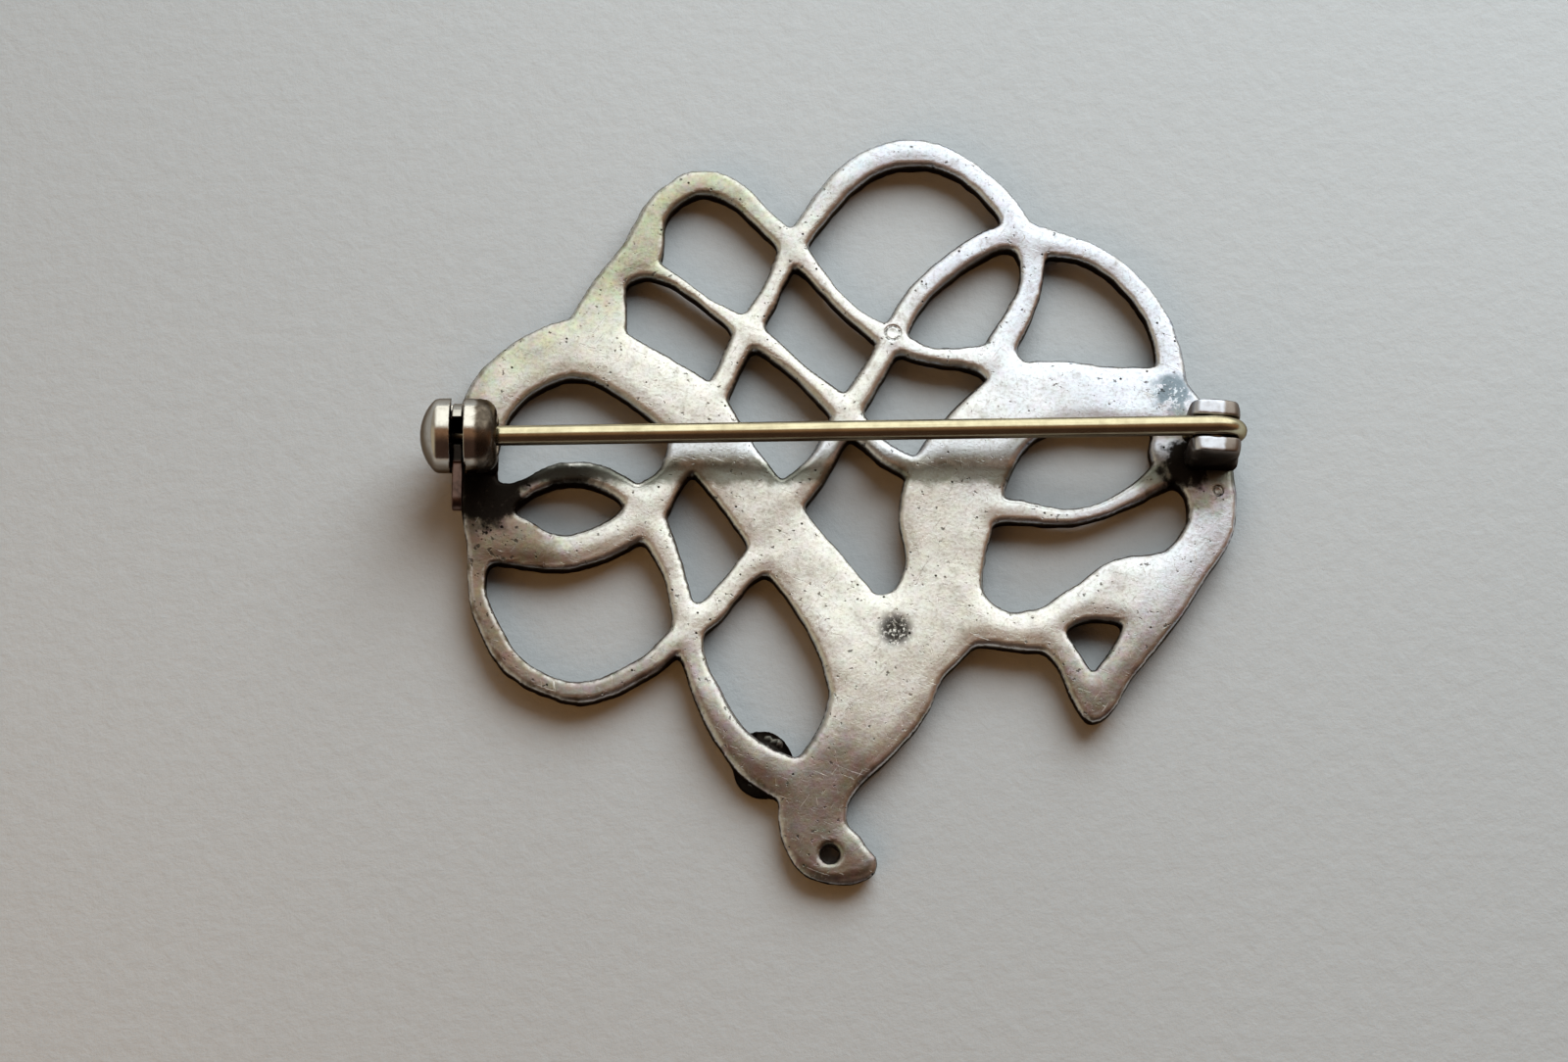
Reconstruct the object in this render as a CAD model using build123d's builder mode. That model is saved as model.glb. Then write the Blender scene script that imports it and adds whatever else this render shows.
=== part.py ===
from build123d import *
import math
import os
from collections import namedtuple

# A cast silver brooch of interlaced ribbons, seen from its back. It lies on its front face.
# X runs along the pin, Y across it, Z up out of the back. The origin is at the middle of the
# whole brooch, on the surface that it lies on. Millimetres.

# The plate
PLATE_WIDTH = 39.0
PLATE_HEIGHT = 38.5
PLATE_THICKNESS = 1.8
RIBBON = 1.17
BAND = 3.12
THINNEST_HALF = 0.16
BACK_BEVEL = 0.12
CREST_DEPTH = 0.45
CREST_INSET = 0.22
LOBE_DEPTH = 1.0
LOBE_RADII = (1.4, 1.6)
EYE_DIAMETER = 0.9

# The ball joint at the right
HINGE_INSET = 1.3
HINGE_SHIFT_UP = 3.1
PIVOT_HEIGHT = 1.85
EAR_RADIUS = 1.3
EAR_SPAN = 3.74
EAR_DOME = 0.57
EAR_BASE_SPAN = 3.3
RIVET_RADIUS = 0.62
RIVET_IN_EARS = 0.03
RIVET_IN_EYE = 0.06
RIVET_LENGTH = 3.44

# The pin
WIRE_RADIUS = 0.5
EYE_RADIUS = 1.65
EYE_BREADTH = 0.95
EYE_SIDE_GAP = 0.08
EYE_FLOOR_GAP = 0.12
SHOULDER_RADIUS = 0.56
SHOULDER_LENGTH = 2.1
TAPER_START = 0.1
TIP_RADIUS = 0.2
NECK_LENGTH = 1.55
NECK_IN_SHOULDER = 0.15

# The safety catch at the left
CATCH_OVERHANG = 1.85
CATCH_SHIFT_UP = 2.75
CATCH_HEIGHT = 2.3
BARREL_RADIUS = 1.87
INNER_LENGTH = 1.61
INNER_DOME = 0.86
INNER_MOUTH_RADIUS = 1.2
SLOT_WIDTH = 0.68
CAP_LENGTH = 1.57
CAP_DOME = 0.8
BORE_RADIUS = 1.0
BORE_IN_CAP = 0.95
MOUTH_WIDTH = 1.14
SLOT_FLOOR = 1.72
FOOT_LENGTH = 2.9
FOOT_SPAN = 2.2
FOOT_INSET = 0.55
FOOT_SINK = 0.2

# The turning part of the catch
HUB_GAP = 0.05
HUB_WALL = 0.33
HUB_END_GAP = 0.1
FLANGE_GAP = 0.09
FLANGE_RADIUS = 1.6
FLANGE_MOUTH = 2.0
FLANGE_MOUTH_SHIFT = 0.45
LEVER_REACH = 3.85
LEVER_HEIGHT = 1.1
TIP_IN_CAP_GAP = 0.3

Row = namedtuple("Row", "right up breadth")

# Each ribbon is a row of stations along its middle line. right and up are shares of the plate's
# width and height, counted from its middle, and breadth is a share of RIBBON.
RIBBONS = {
    "upper_left_loop": [
        Row(-0.335, 0.225, 2.20),
        Row(-0.315, 0.277, 1.92),
        Row(-0.302, 0.314, 1.15),
        Row(-0.266, 0.349, 1.65),
        Row(-0.255, 0.392, 1.10),
        Row(-0.234, 0.422, 0.95),
        Row(-0.189, 0.443, 1.10),
        Row(-0.144, 0.425, 1.00),
        Row(-0.112, 0.393, 0.87),
        Row(-0.074, 0.353, 0.93),
        Row(-0.042, 0.313, 0.70),
        Row(0.022, 0.246, 0.68),
        Row(0.057, 0.224, 0.85),
        Row(0.090, 0.207, 0.60),
        Row(0.125, 0.199, 0.60),
        Row(0.160, 0.199, 0.90),
        Row(0.193, 0.190, 1.50),
        Row(0.215, 0.170, 1.60),
    ],
    "top_arch": [
        Row(-0.175, 0.140, 0.95),
        Row(-0.156, 0.180, 0.82),
        Row(-0.127, 0.243, 0.95),
        Row(-0.100, 0.290, 0.75),
        Row(-0.076, 0.345, 0.85),
        Row(-0.051, 0.384, 0.90),
        Row(-0.024, 0.421, 1.00),
        Row(0.012, 0.458, 1.05),
        Row(0.050, 0.478, 1.10),
        Row(0.092, 0.484, 1.12),
        Row(0.141, 0.470, 1.03),
        Row(0.184, 0.436, 0.98),
        Row(0.212, 0.402, 1.08),
        Row(0.228, 0.368, 1.15),
        Row(0.241, 0.335, 1.13),
        Row(0.240, 0.305, 1.00),
        Row(0.232, 0.275, 1.05),
        Row(0.215, 0.243, 1.15),
        Row(0.199, 0.210, 1.30),
        Row(0.205, 0.180, 1.30),
    ],
    "cross_rib": [
        Row(-0.290, 0.318, 1.10),
        Row(-0.258, 0.320, 0.70),
        Row(-0.222, 0.303, 0.50),
        Row(-0.182, 0.272, 0.50),
        Row(-0.136, 0.240, 0.85),
        Row(-0.080, 0.194, 0.57),
        Row(-0.045, 0.162, 0.60),
        Row(-0.010, 0.128, 0.90),
        Row(0.040, 0.073, 0.67),
        Row(0.070, 0.053, 0.80),
        Row(0.110, 0.040, 1.20),
    ],
    "right_loop": [
        Row(-0.085, 0.005, 1.50),
        Row(-0.062, 0.022, 1.30),
        Row(-0.033, 0.060, 0.80),
        Row(0.000, 0.122, 0.93),
        Row(0.031, 0.175, 0.80),
        Row(0.058, 0.225, 0.90),
        Row(0.086, 0.277, 0.90),
        Row(0.129, 0.321, 0.90),
        Row(0.178, 0.355, 0.95),
        Row(0.225, 0.368, 1.10),
        Row(0.271, 0.357, 1.15),
        Row(0.318, 0.342, 0.97),
        Row(0.360, 0.311, 1.00),
        Row(0.395, 0.266, 1.05),
        Row(0.414, 0.215, 1.10),
        Row(0.421, 0.165, 1.15),
        Row(0.424, 0.125, 1.15),
    ],
    "brow": [
        Row(-0.475, 0.000, 1.70),
        Row(-0.440, 0.006, 1.30),
        Row(-0.418, 0.019, 0.75),
        Row(-0.385, 0.036, 0.80),
        Row(-0.350, 0.041, 0.80),
        Row(-0.315, 0.033, 0.80),
        Row(-0.283, 0.013, 0.85),
        Row(-0.250, -0.010, 1.40),
    ],
    "cheek": [
        Row(-0.195, 0.095, 1.40),
        Row(-0.213, 0.067, 1.45),
        Row(-0.226, 0.038, 1.05),
        Row(-0.251, 0.006, 1.60),
        Row(-0.283, -0.033, 1.35),
        Row(-0.325, -0.057, 1.40),
        Row(-0.375, -0.067, 1.57),
        Row(-0.422, -0.053, 2.15),
        Row(-0.465, -0.045, 2.20),
    ],
    "lower_left_loop": [
        Row(-0.478, 0.110, 1.30),
        Row(-0.478, 0.060, 1.50),
        Row(-0.475, 0.010, 1.60),
        Row(-0.469, -0.040, 1.60),
        Row(-0.476, -0.090, 0.87),
        Row(-0.476, -0.120, 0.77),
        Row(-0.459, -0.167, 0.87),
        Row(-0.434, -0.209, 0.87),
        Row(-0.389, -0.241, 0.77),
        Row(-0.344, -0.253, 0.80),
        Row(-0.285, -0.233, 0.75),
        Row(-0.245, -0.207, 0.80),
        Row(-0.213, -0.175, 1.00),
        Row(-0.179, -0.148, 1.15),
        Row(-0.147, -0.110, 1.05),
        Row(-0.120, -0.080, 1.30),
        Row(-0.090, -0.050, 1.60),
    ],
    "tail": [
        Row(-0.265, -0.015, 1.60),
        Row(-0.242, -0.052, 1.10),
        Row(-0.226, -0.090, 0.87),
        Row(-0.215, -0.130, 0.93),
        Row(-0.206, -0.170, 1.10),
        Row(-0.197, -0.213, 0.90),
        Row(-0.179, -0.259, 0.97),
        Row(-0.154, -0.306, 1.00),
        Row(-0.125, -0.339, 1.40),
        Row(-0.089, -0.362, 1.65),
        Row(-0.040, -0.375, 1.70),
    ],
    "strut": [
        Row(0.140, -0.005, 1.20),
        Row(0.195, -0.010, 0.93),
        Row(0.230, -0.013, 0.85),
        Row(0.275, -0.019, 0.67),
        Row(0.322, -0.011, 0.60),
        Row(0.360, 0.007, 0.65),
        Row(0.392, 0.029, 0.87),
        Row(0.430, 0.055, 1.50),
    ],
    "middle_web": [
        Row(0.018, -0.140, 1.20),
        Row(0.046, -0.139, 1.05),
        Row(0.080, -0.118, 1.20),
    ],
    "right_web": [
        Row(0.151, -0.105, 1.05),
        Row(0.163, -0.143, 1.20),
        Row(0.195, -0.163, 1.10),
    ],
    "foot_inner_edge": [
        Row(0.240, -0.172, 1.30),
        Row(0.264, -0.189, 1.15),
        Row(0.278, -0.208, 1.00),
        Row(0.294, -0.240, 1.15),
        Row(0.303, -0.270, 0.90),
        Row(0.306, -0.286, 0.40),
    ],
}

# The broad bands, in the same way, with breadth as a share of BAND.
BANDS = {
    "body": [
        Row(-0.476, 0.080, 0.58),
        Row(-0.462, 0.140, 0.78),
        Row(-0.419, 0.185, 0.85),
        Row(-0.365, 0.209, 0.93),
        Row(-0.308, 0.198, 0.94),
        Row(-0.260, 0.168, 0.95),
        Row(-0.205, 0.126, 1.05),
        Row(-0.164, 0.063, 1.04),
        Row(-0.122, 0.006, 1.02),
        Row(-0.075, -0.060, 1.12),
        Row(-0.031, -0.116, 1.18),
        Row(0.012, -0.180, 1.37),
        Row(0.044, -0.235, 1.72),
        Row(0.027, -0.280, 1.42),
        Row(-0.011, -0.338, 1.03),
        Row(-0.043, -0.385, 1.02),
        Row(-0.047, -0.425, 1.02),
        Row(-0.031, -0.458, 1.00),
        Row(0.000, -0.4715, 0.78),
        Row(0.018, -0.477, 0.52),
        Row(0.034, -0.476, 0.22),
    ],
    "back": [
        Row(0.430, 0.115, 0.55),
        Row(0.400, 0.141, 1.00),
        Row(0.340, 0.144, 1.00),
        Row(0.280, 0.149, 1.10),
        Row(0.228, 0.138, 1.20),
        Row(0.184, 0.101, 1.20),
        Row(0.142, 0.035, 1.50),
        Row(0.122, -0.040, 1.44),
        Row(0.120, -0.090, 1.24),
        Row(0.114, -0.122, 1.34),
        Row(0.104, -0.152, 1.60),
        Row(0.085, -0.190, 1.41),
        Row(0.065, -0.235, 1.03),
    ],
    "foot_outer_edge": [
        Row(0.426, 0.155, 0.35),
        Row(0.435, 0.115, 0.90),
        Row(0.442, 0.080, 1.30),
        Row(0.457, 0.040, 0.95),
        Row(0.466, 0.010, 0.76),
        Row(0.462, -0.040, 0.73),
        Row(0.430, -0.085, 0.75),
        Row(0.392, -0.137, 0.85),
        Row(0.372, -0.175, 0.62),
        Row(0.352, -0.208, 0.52),
        Row(0.332, -0.236, 0.53),
        Row(0.319, -0.263, 0.50),
        Row(0.301, -0.288, 0.20),
    ],
    "foot_web": [
        Row(0.450, -0.080, 0.50),
        Row(0.385, -0.098, 0.70),
        Row(0.342, -0.120, 1.00),
        Row(0.310, -0.130, 0.70),
        Row(0.280, -0.143, 0.50),
        Row(0.245, -0.168, 0.60),
        Row(0.200, -0.170, 0.54),
        Row(0.140, -0.166, 0.66),
    ],
}
LOBE = Row(-0.110, -0.344, 1.0)
EYE = Row(-0.025, -0.463, 1.0)

# Places that follow from the sizes. Plate places are counted from the plate's middle.
PLATE_LEFT = -PLATE_WIDTH / 2
PIVOT_FROM_MIDDLE = PLATE_WIDTH / 2 - HINGE_INSET
LEFT_END = PLATE_LEFT - CATCH_OVERHANG
RIGHT_END = PIVOT_FROM_MIDDLE + EYE_RADIUS
MIDDLE_X = -(LEFT_END + RIGHT_END) / 2
PIVOT_X = MIDDLE_X + PIVOT_FROM_MIDDLE
PIVOT_Z = PLATE_THICKNESS + PIVOT_HEIGHT
EYE_BORE = RIVET_RADIUS + RIVET_IN_EYE
EYE_SLOT = EYE_BREADTH + 2 * EYE_SIDE_GAP
EAR_SLOT_FLOOR = PIVOT_Z - EYE_RADIUS - EYE_FLOOR_GAP
CATCH_END_X = MIDDLE_X + LEFT_END
SLOT_LEFT_X = CATCH_END_X + CAP_LENGTH
SLOT_RIGHT_X = SLOT_LEFT_X + SLOT_WIDTH
CATCH_MOUTH_X = SLOT_RIGHT_X + INNER_LENGTH
CATCH_Z = PLATE_THICKNESS + CATCH_HEIGHT
BORE_END_X = SLOT_LEFT_X - BORE_IN_CAP
HUB_RADIUS = BORE_RADIUS - HUB_GAP
HUB_BORE = HUB_RADIUS - HUB_WALL
HUB_LEFT_X = BORE_END_X + HUB_END_GAP
HUB_RIGHT_X = CATCH_MOUTH_X - HUB_END_GAP
FLANGE_LEFT_X = SLOT_LEFT_X + FLANGE_GAP
FLANGE_THICKNESS = SLOT_WIDTH - 2 * FLANGE_GAP
LEVER_ROUND = LEVER_HEIGHT / 2

# The wire runs from the top of the eye to the mouth of the catch, and on to its tip.
WIRE_START = (PIVOT_X, HINGE_SHIFT_UP, PIVOT_Z + EYE_RADIUS - WIRE_RADIUS)
WIRE_AIM = (CATCH_MOUTH_X - WIRE_START[0], CATCH_SHIFT_UP - WIRE_START[1], CATCH_Z - WIRE_START[2])
WIRE_TO_CATCH = math.hypot(*WIRE_AIM)
WIRE_STRAIGHT = WIRE_TO_CATCH - TAPER_START
WIRE_TO_TIP = WIRE_TO_CATCH + CATCH_MOUTH_X - BORE_END_X - TIP_IN_CAP_GAP


def station_points(rows, unit, inset):
    """The left and right edge points of a ribbon whose edges are drawn in by inset."""
    centres = []
    for row in rows:
        centres.append((MIDDLE_X + row.right * PLATE_WIDTH, row.up * PLATE_HEIGHT))
    left, right = [], []
    last = len(rows) - 1
    for i, row in enumerate(rows):
        before = centres[max(i - 1, 0)]
        after = centres[min(i + 1, last)]
        along = math.hypot(after[0] - before[0], after[1] - before[1])
        normal = ((before[1] - after[1]) / along, (after[0] - before[0]) / along)
        half = max(row.breadth * unit / 2 - inset, THINNEST_HALF)
        x, y = centres[i]
        left.append((x + normal[0] * half, y + normal[1] * half))
        right.append((x - normal[0] * half, y - normal[1] * half))
    return left, right


def draw_openwork(inset):
    """Every ribbon and band as one flat face, for a sketch that is open."""
    strands = [(rows, RIBBON) for rows in RIBBONS.values()] + [(rows, BAND) for rows in BANDS.values()]
    for rows, unit in strands:
        left, right = station_points(rows, unit, inset)
        with BuildLine() as outline:
            near = Spline(*left)
            far = Spline(*right)
            Line(near @ 0, far @ 0)
            Line(near @ 1, far @ 1)
        make_face(outline.edges())


def on_plate(row):
    """The place of a row as X and Y."""
    return (MIDDLE_X + row.right * PLATE_WIDTH, row.up * PLATE_HEIGHT)


def across_catch(x):
    """A plane across the catch's axis at X, whose first axis is Y and whose second is Z."""
    return Plane(origin=(x, CATCH_SHIFT_UP, CATCH_Z), x_dir=(0, 1, 0), z_dir=(1, 0, 0))


def across_hinge(y):
    """A plane across the hinge's axis, whose first axis is X and whose second is Z."""
    return Plane(origin=(PIVOT_X, HINGE_SHIFT_UP + y, PIVOT_Z), x_dir=(1, 0, 0), z_dir=(0, -1, 0))


catch_plane = Plane(origin=(0, CATCH_SHIFT_UP, CATCH_Z), x_dir=(1, 0, 0), z_dir=(0, 0, 1))
catch_axis = Axis((0, CATCH_SHIFT_UP, CATCH_Z), (1, 0, 0))
hinge_plane = Plane(origin=(PIVOT_X, HINGE_SHIFT_UP, PIVOT_Z), x_dir=(1, 0, 0), z_dir=(0, 0, 1))
hinge_axis = Axis((PIVOT_X, HINGE_SHIFT_UP, PIVOT_Z), (0, 1, 0))

with BuildPart() as openwork:
    # The barrel of the catch is turned in one piece and then parted by the slot for the flange.
    with BuildSketch(catch_plane):
        with BuildLine():
            Line((CATCH_END_X, 0), (CATCH_MOUTH_X, 0))
            Line((CATCH_MOUTH_X, 0), (CATCH_MOUTH_X, INNER_MOUTH_RADIUS))
            TangentArc(
                (CATCH_MOUTH_X - INNER_DOME, BARREL_RADIUS),
                (CATCH_MOUTH_X, INNER_MOUTH_RADIUS),
                tangent=(1, 0),
            )
            Line((CATCH_MOUTH_X - INNER_DOME, BARREL_RADIUS), (CATCH_END_X + CAP_DOME, BARREL_RADIUS))
            TangentArc((CATCH_END_X, 0), (CATCH_END_X + CAP_DOME, BARREL_RADIUS), tangent=(0, 1))
        make_face()
    revolve(axis=catch_axis)
    with BuildSketch(across_catch(SLOT_LEFT_X)):
        Circle(2 * BARREL_RADIUS)
    extrude(amount=SLOT_WIDTH, mode=Mode.SUBTRACT)

    # The foot holds the two halves of the barrel on the plate.
    with BuildSketch(Plane.XY.offset(PLATE_THICKNESS - FOOT_SINK)):
        with Locations((CATCH_END_X + FOOT_INSET, CATCH_SHIFT_UP)):
            Rectangle(FOOT_LENGTH, FOOT_SPAN, align=(Align.MIN, Align.CENTER))
    extrude(amount=CATCH_HEIGHT + FOOT_SINK)
    with BuildSketch(across_catch(SLOT_LEFT_X)):
        Circle(SLOT_FLOOR)
    extrude(amount=SLOT_WIDTH, mode=Mode.SUBTRACT)

    # The bore takes the turning hub, and its long mouth lets the wire in from the side.
    with BuildSketch(across_catch(BORE_END_X)):
        Circle(BORE_RADIUS)
        Rectangle(2 * BARREL_RADIUS, MOUTH_WIDTH, align=(Align.MIN, Align.CENTER))
    extrude(amount=CATCH_MOUTH_X - BORE_END_X, mode=Mode.SUBTRACT)

    # The ears of the ball joint stand on a block, with the slot for the eye between them.
    with BuildSketch(hinge_plane):
        with BuildLine():
            Line((0, -EAR_SPAN / 2), (0, EAR_SPAN / 2))
            TangentArc((0, EAR_SPAN / 2), (EAR_RADIUS, EAR_SPAN / 2 - EAR_DOME), tangent=(1, 0))
            Line((EAR_RADIUS, EAR_SPAN / 2 - EAR_DOME), (EAR_RADIUS, EAR_DOME - EAR_SPAN / 2))
            TangentArc((0, -EAR_SPAN / 2), (EAR_RADIUS, EAR_DOME - EAR_SPAN / 2), tangent=(1, 0))
        make_face()
    revolve(axis=hinge_axis)
    with BuildSketch(Plane.XY.offset(PLATE_THICKNESS - FOOT_SINK)):
        with Locations((PIVOT_X, HINGE_SHIFT_UP)):
            Rectangle(2 * EAR_RADIUS, EAR_BASE_SPAN)
    extrude(amount=PIVOT_HEIGHT + FOOT_SINK)
    with BuildSketch(Plane.XY.offset(EAR_SLOT_FLOOR)):
        with Locations((PIVOT_X, HINGE_SHIFT_UP)):
            Rectangle(4 * EAR_RADIUS, EYE_SLOT)
    extrude(amount=4 * EAR_RADIUS, mode=Mode.SUBTRACT)
    with BuildSketch(across_hinge(EAR_SPAN)):
        Circle(RIVET_RADIUS + RIVET_IN_EARS)
    extrude(amount=2 * EAR_SPAN, mode=Mode.SUBTRACT)

    # The pierced plate, in three layers: the domed front, the full body and the softened back.
    with BuildSketch(Plane.XY):
        draw_openwork(CREST_INSET)
        with Locations(on_plate(LOBE)):
            Ellipse(LOBE_RADII[0] - CREST_INSET, LOBE_RADII[1] - CREST_INSET)
    extrude(amount=CREST_DEPTH)
    with BuildSketch(Plane.XY.offset(CREST_DEPTH)):
        with Locations(on_plate(LOBE)):
            Ellipse(*LOBE_RADII)
    extrude(amount=LOBE_DEPTH - CREST_DEPTH)
    with BuildSketch(Plane.XY.offset(CREST_DEPTH)):
        draw_openwork(0)
    extrude(amount=PLATE_THICKNESS - CREST_DEPTH - BACK_BEVEL)
    with BuildSketch(Plane.XY.offset(PLATE_THICKNESS - BACK_BEVEL)):
        draw_openwork(BACK_BEVEL)
    extrude(amount=BACK_BEVEL)
    with BuildSketch(Plane.XY):
        with Locations(on_plate(EYE)):
            Circle(EYE_DIAMETER / 2)
    extrude(amount=PLATE_THICKNESS, mode=Mode.SUBTRACT)

with BuildPart() as joint_rivet:
    with BuildSketch(across_hinge(RIVET_LENGTH / 2)):
        Circle(RIVET_RADIUS)
    extrude(amount=RIVET_LENGTH)

with BuildPart() as pin_stem:
    # The eye is a flat ring, and a neck of the same breadth leaves the top of it.
    with BuildSketch(across_hinge(EYE_BREADTH / 2)):
        Circle(EYE_RADIUS)
        with Locations((-NECK_LENGTH, EYE_RADIUS)):
            Rectangle(NECK_LENGTH, 2 * WIRE_RADIUS, align=(Align.MIN, Align.MAX))
        Circle(EYE_BORE, mode=Mode.SUBTRACT)
    extrude(amount=EYE_BREADTH)

    # The shoulder, the straight wire and the taper to the tip, turned about the wire's own line.
    with BuildSketch(Plane(origin=WIRE_START, x_dir=WIRE_AIM, z_dir=(0, -WIRE_AIM[2], WIRE_AIM[1]))):
        with BuildLine():
            Polyline(
                (NECK_LENGTH - NECK_IN_SHOULDER, 0),
                (NECK_LENGTH - NECK_IN_SHOULDER, SHOULDER_RADIUS),
                (SHOULDER_LENGTH, WIRE_RADIUS),
                (WIRE_STRAIGHT, WIRE_RADIUS),
                (WIRE_TO_TIP, TIP_RADIUS),
                (WIRE_TO_TIP, 0),
                close=True,
            )
        make_face()
    revolve(axis=Axis(WIRE_START, WIRE_AIM))

with BuildPart() as catch_rotor:
    # The hub is a tube with a long opening on top, and the flange with its lever is one with it.
    with BuildSketch(across_catch(HUB_LEFT_X)):
        Circle(HUB_RADIUS)
    extrude(amount=HUB_RIGHT_X - HUB_LEFT_X)
    with BuildSketch(across_catch(FLANGE_LEFT_X)):
        Circle(FLANGE_RADIUS)
        Rectangle(LEVER_REACH - LEVER_ROUND, LEVER_HEIGHT, align=(Align.MAX, Align.CENTER))
        with Locations((LEVER_ROUND - LEVER_REACH, 0)):
            Circle(LEVER_ROUND)
    extrude(amount=FLANGE_THICKNESS)
    with BuildSketch(across_catch(HUB_LEFT_X)):
        Circle(HUB_BORE)
        Rectangle(MOUTH_WIDTH, 2 * FLANGE_RADIUS, align=(Align.CENTER, Align.MIN))
    extrude(amount=HUB_RIGHT_X - HUB_LEFT_X, mode=Mode.SUBTRACT)

    # The flange's own opening is wider than the hub's and reaches over the top of the lever.
    with BuildSketch(across_catch(FLANGE_LEFT_X)):
        with Locations((-FLANGE_MOUTH_SHIFT, LEVER_ROUND)):
            Rectangle(FLANGE_MOUTH, FLANGE_RADIUS, align=(Align.CENTER, Align.MIN))
    extrude(amount=FLANGE_THICKNESS, mode=Mode.SUBTRACT)

openwork.part.label = "openwork"
joint_rivet.part.label = "joint_rivet"
pin_stem.part.label = "pin_stem"
catch_rotor.part.label = "catch_rotor"
os.makedirs("parts", exist_ok=True)
export_step(openwork.part, "parts/openwork.step")
export_step(joint_rivet.part, "parts/joint_rivet.step")
export_step(pin_stem.part, "parts/pin_stem.step")
export_step(catch_rotor.part, "parts/catch_rotor.step")
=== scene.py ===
import math

import bmesh
import bpy
import numpy as np
from mathutils import Matrix, Vector, noise
from mathutils.bvhtree import BVHTree


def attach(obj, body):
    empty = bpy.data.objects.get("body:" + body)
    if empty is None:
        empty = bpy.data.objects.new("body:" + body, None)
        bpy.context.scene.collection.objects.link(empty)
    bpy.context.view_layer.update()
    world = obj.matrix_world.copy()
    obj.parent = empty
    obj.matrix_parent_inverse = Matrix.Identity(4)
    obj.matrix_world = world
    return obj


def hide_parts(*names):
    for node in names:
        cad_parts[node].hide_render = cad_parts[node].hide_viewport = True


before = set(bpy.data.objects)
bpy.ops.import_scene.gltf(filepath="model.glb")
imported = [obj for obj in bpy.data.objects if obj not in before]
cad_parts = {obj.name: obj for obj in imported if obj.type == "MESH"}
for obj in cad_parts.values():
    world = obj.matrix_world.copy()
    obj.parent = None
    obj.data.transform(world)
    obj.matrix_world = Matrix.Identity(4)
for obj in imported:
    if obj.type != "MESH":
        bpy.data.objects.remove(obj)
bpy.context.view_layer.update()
scene = bpy.context.scene
MM = 0.001


# The view, the light and the paper. The brooch lies on its front on pale grey paper, and the camera
# looks down on its back. The metal mirrors the room: a broad window towards +Y in a dim wall, and a
# brown near side. Two soft lamps, which the metal doesn't mirror, light the paper.
CAMERA_TILT = math.radians(15)
CAMERA_DISTANCE = 205
CAMERA_LENS = 94.1
CLIP_START = 10
LOOKED_AT = Vector((-2.4975, -1.534, 1.8))
WINDOW_LIGHT = (1.55, 1.58, 1.49, 1)
WALL_LIGHT = (0.34, 0.31, 0.26, 1)
SIDE_LIGHT = (0.46, 0.40, 0.29, 1)
ROOM_LIGHT = (0.27, 0.15, 0.085, 1)
NEAR_LIGHT = (0.05, 0.028, 0.02, 1)
# Where each part of the room begins and where it is full, by the X or Y of the direction to it.
WINDOW_LEFT = (-0.65, -0.05)
WINDOW_RIGHT = (0.7, 0.9)
WINDOW_SILL = (0.12, 0.32)
WALL_FOOT = (0.1, 0.4)
SIDE_EDGE = (0.3, 0.8)
NEAR_EDGE = (0, 0.6)
# Each lamp's place, size, power in watts and colour.
LAMPS = {
    "lamp": (Vector((58, 130, 130)), 190, 1.3, (0.82, 0.93, 0.98)),
    "fill": (Vector((-100, -130, 110)), 200, 0.25, (1.0, 0.5, 0.15)),
}
PAPER_SIZE = 1600
PAPER = (0.197, 0.197, 0.197, 1)
PAPER_SHADE = (0.184, 0.184, 0.184, 1)
FIBRE_RELIEF = 0.08


class Value:
    """One output of a shader node. Sums, differences and products of it add Math nodes."""

    def __init__(self, finish, socket):
        self.finish = finish
        self.socket = socket

    def maths(self, operation, *terms):
        return self.finish.node("Math", {"operation": operation}, dict(enumerate(terms)))

    def __add__(self, other):
        return self.maths("ADD", self, other)

    def __sub__(self, other):
        return self.maths("SUBTRACT", self, other)

    def __rsub__(self, other):
        return self.maths("SUBTRACT", other, self)

    def __mul__(self, other):
        return self.maths("MULTIPLY", self, other)

    __radd__ = __add__
    __rmul__ = __mul__

    def __neg__(self):
        return 0 - self

    def __abs__(self):
        return self.maths("ABSOLUTE", self)

    def at_least(self, least):
        return self.maths("MAXIMUM", self, least)

    def between(self, low, high):
        """0 below low and 1 above high, with a smooth rise between them."""
        return self.finish.node(
            "MapRange", {"interpolation_type": "SMOOTHSTEP"}, {0: self, 1: low, 2: high}
        )

    def below(self, low, high):
        """1 below low and 0 above high, with a smooth fall between them."""
        return 1 - self.between(low, high)

    def distance(self, spot):
        """How far a place is from a spot."""
        return self.finish.node("VectorMath", {"operation": "DISTANCE"}, {0: self, 1: spot}, "Value")

    def parts(self):
        """The three numbers of a vector."""
        split = self.finish.node("SeparateXYZ", None, {0: self})
        return [Value(self.finish, socket) for socket in split.socket.node.outputs]

    def beside(self, output):
        """Another output of the same node."""
        return Value(self.finish, self.socket.node.outputs[output])


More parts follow.
